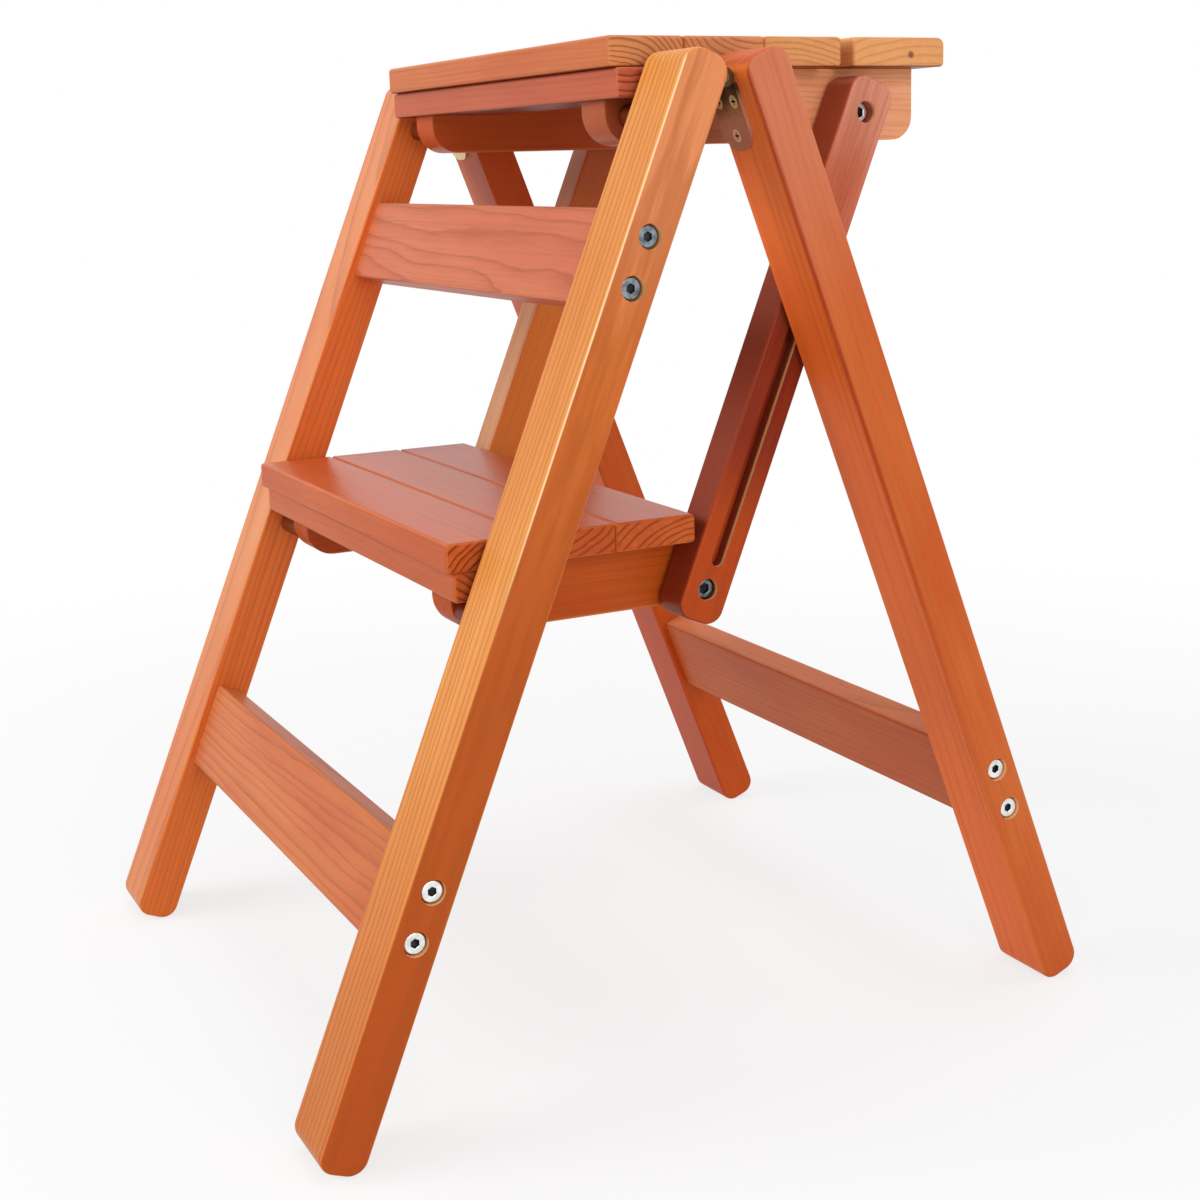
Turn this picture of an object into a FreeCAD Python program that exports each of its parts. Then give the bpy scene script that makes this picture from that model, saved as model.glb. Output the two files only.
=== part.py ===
import FreeCAD, Part
import math
import os
import Sketcher

# Folding step stool: a seat and a step that swing up between two leg frames.
# Millimetres, Z up, front towards -Y. Left and right are as seen from the front.
# The origin is on the floor, in the middle of the width and of the depth.

X_AXIS = FreeCAD.Vector(1, 0, 0)
Y_AXIS = FreeCAD.Vector(0, 1, 0)

SIZES = {
    # Whole stool
    "overall_width": 372,  # outside of one leg to outside of the other
    "seat_height": 500,  # floor to seat top
    "step_height": 272.4,  # floor to step top
    "front_lean": 22.4,  # degrees from upright, top towards the rear
    "rear_lean": 20.9,  # degrees from upright, top towards the front

    # Leg stock
    "leg_thick": 37.5,  # leg across the stool
    "leg_side": 23.8,  # leg seen from the side
    "leg_round": 8.5,  # corner radius at each leg end
    "edge_round": 1.6,  # rounding along every edge of legs and links
    "leg_above_pivot": 27.2,  # front leg left above the seat pivot, along the leg
    "hinge_drop": 4.7,  # front leg top down to the hinge axis, along the leg
    "rear_top_over": 5.6,  # rear leg left above the hinge, along the leg

    # Rails
    "upper_rail_tall": 46.5,  # upper front rail, height along the leg
    "lower_rail_tall": 49,  # lower front rail and rear rail, height along the leg
    "rail_thick": 15,  # rail thickness
    "rail_round": 2,  # rounding of the long rail edges
    "upper_rail_drop": 72,  # seat pivot down to the middle of the upper rail, along the leg
    "lower_rail_rise": 123.3,  # floor up to the middle of the lower front rail, along the leg
    "rear_rail_rise": 122.5,  # floor up to the middle of the rear rail, along the leg

    # Seat and step boards
    "board_thick": 14.3,  # stock of all boards
    "board_round": 2,  # rounded board edges, which meet in a groove
    "seat_front_board": 40.7,  # first seat board, front to rear
    "seat_board": 44.4,  # second and third seat boards
    "seat_gap": 7.1,  # gap before the last seat board
    "seat_rear_board": 55.6,  # last seat board
    "seat_rear_round": 4,  # rounded rear edge of the seat
    "step_board": 44,  # each step board
    "under_board_wide": 45,  # board under the front board
    "seat_under_back": 3.3,  # under board behind the seat's front edge
    "step_under_back": 3.6,  # under board behind the step's front edge
    "seat_side_gap": 7.8,  # seat board end to leg
    "step_side_gap": 4.8,  # step board end to leg
    "seat_under_side_gap": 5.8,  # under board end to leg, seat
    "step_under_side_gap": 5.5,  # under board end to leg, step
    "seat_nose": 21.1,  # seat front edge ahead of its pivot
    "step_nose": 17.6,  # step front edge ahead of its pivot
    "seat_pivot_drop": 36.3,  # seat top down to its pivot
    "step_pivot_drop": 38.8,  # step top down to its pivot

    # Bearers under the boards
    "bearer_thick": 24,  # bearer across the stool
    "bearer_tall": 35.5,  # bearer height
    "bearer_round": 12,  # lower rear bearer corner
    "nose_share": 0.75,  # how much of the bearer's front face its lower rounding takes
    "seat_bearer_back": 8.4,  # bearer behind the seat's front edge
    "seat_bearer_short": 5.3,  # bearer ends before the seat's rear edge
    "step_bearer_back": 11,  # bearer behind the step's front edge
    "step_bearer_past": 15,  # bearer past the link pivot

    # Pivots and links
    "arm": 120.3,  # leg pivot to link pivot, the same on seat and step
    "pivot_inset": 3,  # leg pivots behind the leg's middle line
    "pivot_pin": 8,  # pivot pin diameter
    "pin_in_leg": 22,  # pin length in the leg
    "pin_in_bearer": 17,  # pin length in the bearer
    "spacer_dia": 11,  # spacer on the pivot pin
    "link_thick": 22,  # link across the stool
    "link_side": 25.6,  # link seen from the side
    "link_past": 16.8,  # link past each of its pivots
    "link_leg_gap": 4.2,  # link to leg
    "link_bearer_gap": 2.5,  # link to bearer, where the washer sits
    "turning_gap": 0.3,  # between faces that turn on each other
    "turning_fit": 0.08,  # radial clearance of turning pins
    "fixed_fit": 0.05,  # radial clearance of fixed pins and screws
    "bore_spare": 1,  # blind bore past the end of its pin

    # Rail screws: hexagon socket connecting screws
    "screw_head": 10.2,  # head diameter
    "screw_head_tall": 3,  # head height
    "screw_shank": 6.4,  # shank diameter
    "screw_length": 62,  # under the head
    "screw_socket": 4,  # across flats
    "socket_deep": 2.4,  # socket depth
    "screw_pitch": 24.4,  # between the two screws of a rail end
    "screw_sink_bore": 11.9,  # counterbore diameter
    "low_sink": 1.5,  # head below the leg face at the lower rails
    "high_sink": 2.5,  # head below the leg face at the upper rail

    # Link bolts, insert nuts and washers
    "bolt_head": 10,  # head diameter
    "bolt_head_tall": 6,  # head height
    "bolt_shank": 6,  # shank diameter
    "bolt_length": 28,  # under the head
    "bolt_socket": 5,  # across flats
    "bolt_socket_deep": 3,  # socket depth
    "bolt_sink_bore": 10.8,  # counterbore diameter
    "seat_bolt_sink": 6.5,  # head below the link face at the seat
    "step_bolt_sink": 3.5,  # head below the link face at the step
    "nut_dia": 12,  # insert nut diameter
    "nut_long": 18,  # insert nut length
    "washer_dia": 18,  # washer diameter

    # Groove and its pin
    "track_wide": 7,  # groove width
    "track_deep": 8,  # groove depth
    "track_low": 12.2,  # groove end above the step link pivot
    "track_past": 3.5,  # groove past the pin with the stool open
    "stud_behind": 1.6,  # pin behind the groove's middle line with the stool open
    "stud_back": 6,  # pin behind the rear leg's middle line
    "stud_tip": 3.2,  # pin diameter in the groove
    "stud_body": 6,  # pin diameter in the leg and the gap
    "stud_shoulder": 2,  # thick part of the pin out of the leg
    "stud_in_leg": 20,  # pin length in the leg
    "stud_in_track": 6.5,  # pin length in the groove

    # Hinge
    "knuckle_dia": 9,  # hinge barrel diameter
    "hinge_stand": 4.8,  # hinge axis off the leg faces
    "leaf_thick": 1.8,  # leaf thickness
    "leaf_wide": 24,  # leaf width along the axis
    "leaf_reach": 36.5,  # axis to leaf end
    "leaf_round": 9.8,  # leaf end corners
    "hinge_pin": 4.4,  # hinge pin diameter
    "hinge_slack": 0.3,  # between knuckles
    "hinge_shift": -5,  # both hinges sit this far to the left on their legs
    "pair_reach": 12.8,  # axis to the pair of leaf screws
    "pair_apart": 13.2,  # between the pair of leaf screws
    "last_reach": 29.2,  # axis to the last leaf screw
    "leaf_screw_head": 6.4,  # countersunk head diameter
    "leaf_screw_shank": 3,  # shank diameter
    "leaf_screw_length": 16,  # overall length
    "cross_wide": 0.9,  # width of the cross recess
    "cross_span": 3.6,  # span of the cross recess
    "cross_deep": 1,  # depth of the cross recess
}

FORMULAS = {
    # Legs, worked out
    "half_side": "leg_side / 2",
    "inner_face": "overall_width / 2 - leg_thick",  # middle of the stool to the leg's inner face
    "front_foot": "(leg_round + (half_side - leg_round) * sin(front_lean)) / cos(front_lean) - leg_round",
    "rear_foot": "(leg_round + (half_side - leg_round) * sin(rear_lean)) / cos(rear_lean) - leg_round",
    "seat_pivot_z": "seat_height - seat_pivot_drop",
    "step_pivot_z": "step_height - step_pivot_drop",
    "seat_pivot_up": "(seat_pivot_z + pivot_inset * sin(front_lean)) / cos(front_lean)",  # along the leg
    "step_pivot_up": "(step_pivot_z + pivot_inset * sin(front_lean)) / cos(front_lean)",  # along the leg
    "front_leg_top": "seat_pivot_up + leg_above_pivot",  # along the leg
    "hinge_up": "front_leg_top - hinge_drop",  # along the front leg
    "hinge_off": "half_side + hinge_stand",  # hinge axis off the leg's middle line
    "hinge_run": "hinge_up * sin(front_lean) + hinge_off * cos(front_lean)",  # behind the front floor point
    "hinge_z": "hinge_up * cos(front_lean) - hinge_off * sin(front_lean)",
    "rear_hinge_up": "(hinge_z + hinge_off * sin(rear_lean)) / cos(rear_lean)",  # along the rear leg
    "rear_leg_top": "rear_hinge_up + rear_top_over",  # along the rear leg
    "rear_run": "hinge_run + rear_hinge_up * sin(rear_lean) + hinge_off *"
        " cos(rear_lean)",  # rear floor point
    "front_toe": "(front_foot + leg_round) * sin(front_lean) - (half_side - leg_round) *"
        " cos(front_lean) - leg_round",  # frontmost point of the stool
    "rear_heel": "rear_run - (rear_foot + leg_round) * sin(rear_lean) + (half_side - leg_round) *"
        " cos(rear_lean) + leg_round",  # rearmost point of the stool
    "front_floor_y": "-(front_toe + rear_heel) / 2",  # front floor point, from the middle of the depth
    "rear_floor_y": "front_floor_y + rear_run",
    "hinge_y": "front_floor_y + hinge_run",

    # Rails, worked out
    "rail_length": "2 * inner_face",
    "half_upper_rail": "upper_rail_tall / 2",
    "half_lower_rail": "lower_rail_tall / 2",
    "half_rail_thick": "rail_thick / 2",
    "upper_rail_up": "seat_pivot_up - upper_rail_drop",  # along the front leg
    "half_pitch": "screw_pitch / 2",
    "upper_screw_top": "upper_rail_up + half_pitch",
    "upper_screw_low": "upper_rail_up - half_pitch",
    "lower_screw_top": "lower_rail_rise + half_pitch",
    "lower_screw_low": "lower_rail_rise - half_pitch",
    "rear_screw_top": "rear_rail_rise + half_pitch",
    "rear_screw_low": "rear_rail_rise - half_pitch",
    "low_counterbore": "low_sink + screw_head_tall",
    "high_counterbore": "high_sink + screw_head_tall",
    "low_screw_in_rail": "screw_length + low_counterbore - leg_thick + bore_spare",
    "high_screw_in_rail": "screw_length + high_counterbore - leg_thick + bore_spare",

    # Pivots, worked out
    "seat_pivot_y": "front_floor_y + seat_pivot_z * tan(front_lean) + pivot_inset / cos(front_lean)",
    "step_pivot_y": "front_floor_y + step_pivot_z * tan(front_lean) + pivot_inset / cos(front_lean)",
    "link_pitch": "seat_pivot_up - step_pivot_up",  # between the two link pivots
    "link_low": "-link_past",
    "link_high": "link_pitch + link_past",
    "half_link_side": "link_side / 2",
    "link_inner": "inner_face - link_leg_gap - link_thick",
    "bearer_outer": "link_inner - link_bearer_gap",
    "bearer_inner": "bearer_outer - bearer_thick",
    "seat_bolt_counterbore": "seat_bolt_sink + bolt_head_tall + turning_gap",
    "step_bolt_counterbore": "step_bolt_sink + bolt_head_tall + turning_gap",
    "pivot_pin_long": "pin_in_leg + inner_face - bearer_outer + pin_in_bearer",
    "spacer_long": "inner_face - bearer_outer - turning_gap",
    "washer_thick": "link_bearer_gap - turning_gap",
    "pin_bore_in_bearer": "pin_in_bearer + bore_spare",
    "pin_bore_in_leg": "pin_in_leg + bore_spare",

    # Seat and step outlines about their pivots, worked out
    "seat_joint_1": "seat_front + seat_front_board",
    "seat_joint_2": "seat_joint_1 + seat_board",
    "seat_joint_3": "seat_joint_2 + seat_board",
    "seat_last": "seat_joint_3 + seat_gap",
    "seat_rear": "seat_last + seat_rear_board",
    "step_joint_1": "step_front + step_board",
    "step_joint_2": "step_joint_1 + step_board",
    "step_rear": "step_joint_2 + step_board",
    "bearer_nose_round": "nose_share * (bearer_tall - board_thick)",  # lower front bearer corner
    "seat_bearer_rear": "seat_rear - seat_bearer_short",
    "step_bearer_rear": "arm + step_bearer_past",

    # Groove, worked out
    "open_angle": "front_lean + rear_lean",  # degrees between the leg frames
    "stud_off": "hinge_off + stud_back",
    "stud_reach": "(pivot_inset + arm * cos(front_lean) + stud_behind - hinge_off - stud_off *"
        " cos(open_angle)) / sin(open_angle)",  # hinge down to the pin, along the rear leg
    "stud_up": "rear_hinge_up - stud_reach",  # along the rear leg
    "stud_open_up": "hinge_up - stud_reach * cos(open_angle) + stud_off * sin(open_angle) -"
        " step_pivot_up - arm * sin(front_lean)",  # pin above the step link pivot, stool open
    "track_high": "stud_open_up + stud_tip / 2 + track_past",
    "half_track": "track_wide / 2",
    "track_low_middle": "track_low + half_track",
    "track_high_middle": "track_high - half_track",

    # Hinge, worked out
    "half_leaf": "leaf_wide / 2",
    "leaf_end": "-leaf_reach",
    "leaf_out": "hinge_stand - leaf_thick",  # hinge axis off the outside of a leaf
    "leaf_top": "-knuckle_dia / 4",  # the plate runs into the barrel here
    "past_barrel": "leaf_wide + 2 * bore_spare",
    "leaf_screw_cone_tall": "(leaf_screw_head - leaf_screw_shank) / 2",
    "front_pair_up": "hinge_up - pair_reach",  # along the front leg
    "front_last_up": "hinge_up - last_reach",  # along the front leg
    "rear_pair_up": "rear_hinge_up - pair_reach",  # along the rear leg
    "rear_last_up": "rear_hinge_up - last_reach",  # along the rear leg
    "third_leaf": "leaf_wide / 6",  # half the middle knuckle
    "middle_knuckle_cut": "third_leaf + hinge_slack / 2",
    "outer_knuckle_cut": "third_leaf - hinge_slack / 2",
    "knuckle_cut_low": "-(knuckle_dia / 2 + hinge_slack)",
    "knuckle_cut_high": "knuckle_dia / 2 + hinge_slack",
    "past_leaf": "half_leaf + bore_spare",
    "half_pair": "pair_apart / 2",
    "pair_z": "-pair_reach",
    "last_z": "-last_reach",
    "leaf_x_in_leg": "leg_thick / 2 + hinge_shift",  # from the leg's inner face
    "leaf_pair_near": "leaf_x_in_leg - half_pair",
    "leaf_pair_far": "leaf_x_in_leg + half_pair",
}


def deck_formulas(deck):
    """Outlines of the seat or the step about its own pivot."""
    return {
        deck + "_front": "-%s_nose" % deck,
        deck + "_top": "%s_pivot_drop" % deck,
        deck + "_board_under": "%s_top - board_thick" % deck,
        deck + "_under_front": "%s_front + %s_under_back" % (deck, deck),
        deck + "_under_rear": "%s_under_front + under_board_wide" % deck,
        deck + "_under_bottom": "%s_board_under - board_thick" % deck,
        deck + "_bearer_front": "%s_front + %s_bearer_back" % (deck, deck),
        deck + "_bearer_bottom": "%s_board_under - bearer_tall" % deck,
        deck + "_length": "2 * (inner_face - %s_side_gap)" % deck,
        deck + "_under_length": "2 * (inner_face - %s_under_side_gap)" % deck,
    }


def fill_sheet():
    """One row for each size and formula, its name beside it and as its alias."""
    rows = {name: str(number) for name, number in SIZES.items()}
    for formulas in (deck_formulas("seat"), deck_formulas("step"), FORMULAS):
        rows.update({name: "=" + formula for name, formula in formulas.items()})
    for row, (name, content) in enumerate(rows.items(), 1):
        sheet.set("A%d" % row, name)
        sheet.set("B%d" % row, content)
        sheet.setAlias("B%d" % row, name)
    doc.recompute()


doc = FreeCAD.newDocument("FoldingStepStool")
sheet = doc.addObject("Spreadsheet::Sheet", "Sizes")
fill_sheet()


class Side:
    """One side of the stool: its name, its sign along X and the faces of a leg there."""

    def __init__(self, name, sign):
        self.name = name
        self.sign = sign
        self.leg_x = "Sizes.inner_face" if sign > 0 else "-Sizes.overall_width / 2"
        self.outer = "leg_thick" if sign > 0 else None
        self.inner = None if sign > 0 else "leg_thick"


SIDES = (Side("right", 1), Side("left", -1))


def value(alias):
    """Number behind an alias, which may carry a leading minus."""
    number = float(sheet.get(alias.lstrip("-")))
    return -number if alias.startswith("-") else number


def bound(alias):
    """Expression that reads an alias from the sheet."""
    return "-Sizes." + alias[1:] if alias.startswith("-") else "Sizes." + alias


def origin_plane(body, role):
    return [feature for feature in body.Origin.OriginFeatures if feature.Role == role][0]


def new_body(label):
    body = doc.addObject("PartDesign::Body", label)
    body.Label = label
    return body


def new_sketch(body, role, name, offset=None):
    """Sketch on one of the body's origin planes, moved along its normal by an alias."""
    sketch = body.newObject("Sketcher::SketchObject", name)
    sketch.AttachmentSupport = (origin_plane(body, role), "")
    sketch.MapMode = "FlatFace"
    if offset:
        sketch.setExpression("AttachmentOffset.Base.z", bound(offset))
    return sketch


def pin_point(sketch, geometry, point, across, along):
    """Hold a point of the sketch at two aliases from the sketch origin."""
    for kind, alias in (("DistanceX", across), ("DistanceY", along)):
        if alias == "0":
            line = -2 if kind == "DistanceX" else -1
            sketch.addConstraint(Sketcher.Constraint("PointOnObject", geometry, point, line))
            continue
        made = sketch.addConstraint(Sketcher.Constraint(kind, -1, 1, geometry, point, value(alias)))
        sketch.setExpression("Constraints[%d]" % made, bound(alias))


def outline(sketch, corners):
    """Closed outline of level and upright edges. A corner is (across, along, radius or None)."""
    count = len(corners)
    places = [FreeCAD.Vector(value(c[0]), value(c[1]), 0) for c in corners]
    rounds = [value(c[2]) if c[2] else 0.0 for c in corners]
    towards = []
    for i in range(count):
        step = places[(i + 1) % count] - places[i]
        towards.append(step.normalize())
    edges = []
    for i in range(count):
        after = (i + 1) % count
        start = places[i] + towards[i] * rounds[i]
        end = places[after] - towards[i] * rounds[after]
        edges.append(sketch.addGeometry(Part.LineSegment(start, end)))
        level = abs(towards[i].x) > abs(towards[i].y)
        sketch.addConstraint(Sketcher.Constraint("Horizontal" if level else "Vertical", edges[i]))
        kind, alias = ("DistanceY", corners[i][1]) if level else ("DistanceX", corners[i][0])
        made = sketch.addConstraint(Sketcher.Constraint(kind, -1, 1, edges[i], 1, value(alias)))
        sketch.setExpression("Constraints[%d]" % made, bound(alias))
    for i in range(count):
        before = edges[i - 1]
        if not corners[i][2]:
            sketch.addConstraint(Sketcher.Constraint("Coincident", before, 2, edges[i], 1))
            continue
        centre = places[i] - towards[i - 1] * rounds[i] + towards[i] * rounds[i]
        turn = towards[i - 1].cross(towards[i]).z
        first = places[i] - towards[i - 1] * rounds[i] - centre
        last = places[i] + towards[i] * rounds[i] - centre
        low, high = (first, last) if turn > 0 else (last, first)
        circle = Part.Circle(centre, FreeCAD.Vector(0, 0, 1), rounds[i])
        start_angle = math.atan2(low.y, low.x)
        end_angle = math.atan2(high.y, high.x)
        arc = sketch.addGeometry(Part.ArcOfCircle(circle, start_angle, end_angle))
        arc_in, arc_out = (1, 2) if turn > 0 else (2, 1)
        sketch.addConstraint(Sketcher.Constraint("Tangent", before, 2, arc, arc_in))
        sketch.addConstraint(Sketcher.Constraint("Tangent", arc, arc_out, edges[i], 1))
        made = sketch.addConstraint(Sketcher.Constraint("Radius", arc, rounds[i]))
        sketch.setExpression("Constraints[%d]" % made, bound(corners[i][2]))


def circles(sketch, centres, diameter):
    """Circles of one diameter. The diameter is an expression of the sheet."""
    start = sheet.get(diameter[0]) / 2
    for across, along in centres:
        middle = FreeCAD.Vector(0 if across == "0" else value(across), 0 if along == "0" else value(along), 0)
        circle = sketch.addGeometry(Part.Circle(middle, FreeCAD.Vector(0, 0, 1), start))
        pin_point(sketch, circle, 3, across, along)
        made = sketch.addConstraint(Sketcher.Constraint("Radius", circle, start))
        extra = " + Sizes." + diameter[1] if len(diameter) > 1 else ""
        sketch.setExpression("Constraints[%d]" % made, "Sizes.%s / 2%s" % (diameter[0], extra))


def pad(body, sketch, length, both_ways=False):
    feature = body.newObject("PartDesign::Pad", sketch.Name + "_pad")
    feature.Profile = sketch
    feature.setExpression("Length", bound(length))
    if both_ways:
        feature.SideType = "Symmetric"
    return feature


def cut(body, sketch, depth, forward=False, both_ways=False):
    """Pocket against the sketch's normal, or along it if forward. Depth None goes right through."""
    feature = body.newObject("PartDesign::Pocket", sketch.Name + "_cut")
    feature.Profile = sketch
    if depth is None:
        feature.Type = "ThroughAll"
    else:
        feature.setExpression("Length", bound(depth))
    if both_ways:
        feature.SideType = "Symmetric"
    feature.Reversed = forward
    cuts.append((body, feature))
    return feature


cuts = []


def soften(body, radius="edge_round"):
    """Round every sharp edge of the body as it is so far."""
    doc.recompute()
    base = body.Tip
    feature = body.newObject("PartDesign::Fillet", body.Name + "_edges")
    feature.Base = (base, [""])
    feature.UseAllEdges = True
    feature.setExpression("Radius", bound(radius))
    body.Tip = feature
    return feature


def place(piece, across, along, up, axis=X_AXIS, angle=None):
    """Bind the placement of a piece: three expressions, and a turn in degrees about an axis."""
    piece.Placement = FreeCAD.Placement(FreeCAD.Vector(), FreeCAD.Rotation(axis, 1 if angle else 0))
    for name, expression in (("x", across), ("y", along), ("z", up)):
        if expression:
            piece.setExpression("Placement.Base." + name, expression)
    if angle:
        piece.setExpression("Placement.Rotation.Angle", angle)


FRONT_TURN = "-Sizes.front_lean"
REAR_TURN = "Sizes.rear_lean"


def on_front_leg(up, off="0"):
    """Expressions for a point at a height along the front leg and a distance behind its middle line."""
    y = "Sizes.front_floor_y + (%s) * sin(Sizes.front_lean) + (%s) * cos(Sizes.front_lean)" % (up, off)
    z = "(%s) * cos(Sizes.front_lean) - (%s) * sin(Sizes.front_lean)" % (up, off)
    return y, z


def on_rear_leg(up, off="0"):
    """The same for the rear leg."""
    y = "Sizes.rear_floor_y - (%s) * sin(Sizes.rear_lean) + (%s) * cos(Sizes.rear_lean)" % (up, off)
    z = "(%s) * cos(Sizes.rear_lean) + (%s) * sin(Sizes.rear_lean)" % (up, off)
    return y, z


pieces = []


def finish(piece, label):
    piece.Label = label
    pieces.append(piece)


def left_copy(piece, label):
    """The left-hand piece is the right-hand one mirrored across the middle of the stool."""
    copy = doc.addObject("Part::Mirroring", label)
    copy.Source = piece
    copy.Normal = X_AXIS
    finish(copy, label)


def rod(name, diameter, low, high):
    """Round bar on its own Z axis between two heights. All three are expressions."""
    bar = doc.addObject("Part::Cylinder", name)
    bar.setExpression("Radius", "(%s) / 2" % diameter)
    bar.setExpression("Height", "(%s) - (%s)" % (high, low))
    bar.setExpression("Placement.Base.z", low)
    return bar


def joined(name, first, second):
    both = doc.addObject("Part::Fuse", name)
    both.Base = first
    both.Tool = second
    return both


def less(name, first, second):
    rest = doc.addObject("Part::Cut", name)
    rest.Base = first
    rest.Tool = second
    return rest


def tube(name, diameter, bore, long):
    """Ring or sleeve whose outer end is at its own origin."""
    wall = rod(name + "_wall", diameter, "-(%s)" % long, "0")
    hollow = rod(name + "_bore", bore, "-(%s) - Sizes.bore_spare" % long, "Sizes.bore_spare")
    return less(name, wall, hollow)


def socket_screw(name, kind, length, socket_deep):
    """Screw with a hexagon socket. The head's top is at its own origin."""
    tall = "Sizes.%s_head_tall" % kind
    head = rod(name + "_head", "Sizes.%s_head" % kind, "-" + tall, "0")
    shank = rod(name + "_shank", "Sizes.%s_shank" % kind, "-%s - Sizes.%s" % (tall, length), "-" + tall)
    socket = doc.addObject("Part::Prism", name + "_socket")
    socket.Polygon = 6
    socket.setExpression("Circumradius", "Sizes.%s_socket / 2 / cos(30)" % kind)
    socket.setExpression("Height", "Sizes.%s + Sizes.bore_spare" % socket_deep)
    socket.setExpression("Placement.Base.z", "-Sizes." + socket_deep)
    return less(name, joined(name + "_blank", head, shank), socket)


def leaf_screw():
    """Countersunk screw with a cross recess. The head's top is at its own origin."""
    head = doc.addObject("Part::Cone", "leaf_screw_cone")
    head.setExpression("Radius1", "Sizes.leaf_screw_shank / 2")
    head.setExpression("Radius2", "Sizes.leaf_screw_head / 2")
    head.setExpression("Height", "Sizes.leaf_screw_cone_tall")
    head.setExpression("Placement.Base.z", "-Sizes.leaf_screw_cone_tall")
    shank = rod("leaf_screw_stem", "Sizes.leaf_screw_shank", "-Sizes.leaf_screw_length",
                "-Sizes.leaf_screw_cone_tall")
    slots = []
    for name, wide, deep in (("one", "cross_span", "cross_wide"), ("two", "cross_wide", "cross_span")):
        bar = doc.addObject("Part::Box", "leaf_screw_slot_" + name)
        bar.setExpression("Length", "Sizes." + wide)
        bar.setExpression("Width", "Sizes." + deep)
        bar.setExpression("Height", "Sizes.cross_deep + Sizes.bore_spare")
        bar.setExpression("Placement.Base.x", "-Sizes.%s / 2" % wide)
        bar.setExpression("Placement.Base.y", "-Sizes.%s / 2" % deep)
        bar.setExpression("Placement.Base.z", "-Sizes.cross_deep")
        slots.append(bar)
    blank = joined("leaf_screw_blank", head, shank)
    return less("leaf_screw", blank, joined("leaf_screw_cross", slots[0], slots[1]))


def group(label, master, places):
    """One node of equal separate solids. A place is (across, along, up, axis, angle), all expressions."""
    members = []
    for number, (across, along, up, axis, angle) in enumerate(places):
        member = doc.addObject("App::Link", "%s_%d" % (label, number + 1))
        member.LinkedObject = master
        member.LinkTransform = True
        place(member, across, along, up, axis, angle)
        members.append(member)
    node = doc.addObject("Part::Compound", label)
    node.Links = members
    finish(node, label)


def across_pair(across, points):
    """Places for one fastener on each side at each (along, up), its own Z turned outwards."""
    return [("%d * (%s)" % (side.sign, across), along, up, Y_AXIS, str(90 * side.sign))
            for side in SIDES for along, up in points]


def bores(body, name, face, centres, diameter, depth):
    """Round bores along X from a face of the body, given by its offset alias."""
    sketch = new_sketch(body, "YZ_Plane", name, face)
    circles(sketch, centres, diameter)
    return cut(body, sketch, depth, forward=face is None)


def leg(name, side, foot, top, screw_sets, pin_bores, leaf_face, leaf_heights):
    """Rounded bar with rail screw bores outside, pin bores inside and hinge screw bores in one side."""
    label = "%s_leg_%s" % (name, side.name)
    body = new_body(label)
    profile = new_sketch(body, "YZ_Plane", label + "_profile")
    outline(profile, [("-half_side", foot, "leg_round"), ("half_side", foot, "leg_round"),
                      ("half_side", top, "leg_round"), ("-half_side", top, "leg_round")])
    pad(body, profile, "leg_thick")
    soften(body)
    for kind, heights, counterbore in screw_sets:
        centres = [("0", height) for height in heights]
        bores(body, label + kind + "_sink", side.outer, centres, ("screw_sink_bore",), counterbore)
        bores(body, label + kind + "_bore", side.outer, centres, ("screw_shank", "fixed_fit"), None)
    for kind, centre, diameter, depth in pin_bores:
        bores(body, label + kind, side.inner, [centre], (diameter, "fixed_fit"), depth)
    holes = new_sketch(body, "XZ_Plane", label + "_leaf_holes", leaf_face)
    circles(holes, [("leaf_pair_near", leaf_heights[0]), ("leaf_pair_far", leaf_heights[0]),
                    ("leaf_x_in_leg", leaf_heights[1])], ("leaf_screw_shank", "fixed_fit"))
    cut(body, holes, "leaf_screw_length", forward=leaf_face.startswith("-"))
    return body


def front_leg(side):
    body = leg("front", side, "front_foot", "front_leg_top",
               [("_upper", ("upper_screw_top", "upper_screw_low"), "high_counterbore"),
                ("_lower", ("lower_screw_top", "lower_screw_low"), "low_counterbore")],
               [("_seat_pivot", ("pivot_inset", "seat_pivot_up"), "pivot_pin", "pin_bore_in_leg"),
                ("_step_pivot", ("pivot_inset", "step_pivot_up"), "pivot_pin", "pin_bore_in_leg")],
               "-half_side", ("front_pair_up", "front_last_up"))
    place(body, side.leg_x, "Sizes.front_floor_y", None, angle=FRONT_TURN)
    finish(body, body.Label)


def rear_leg(side):
    body = leg("rear", side, "rear_foot", "rear_leg_top",
               [("_rail", ("rear_screw_top", "rear_screw_low"), "low_counterbore")],
               [("_stud", ("stud_back", "stud_up"), "stud_body", "stud_in_leg")],
               "half_side", ("rear_pair_up", "rear_last_up"))
    place(body, side.leg_x, "Sizes.rear_floor_y", None, angle=REAR_TURN)
    finish(body, body.Label)


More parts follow.
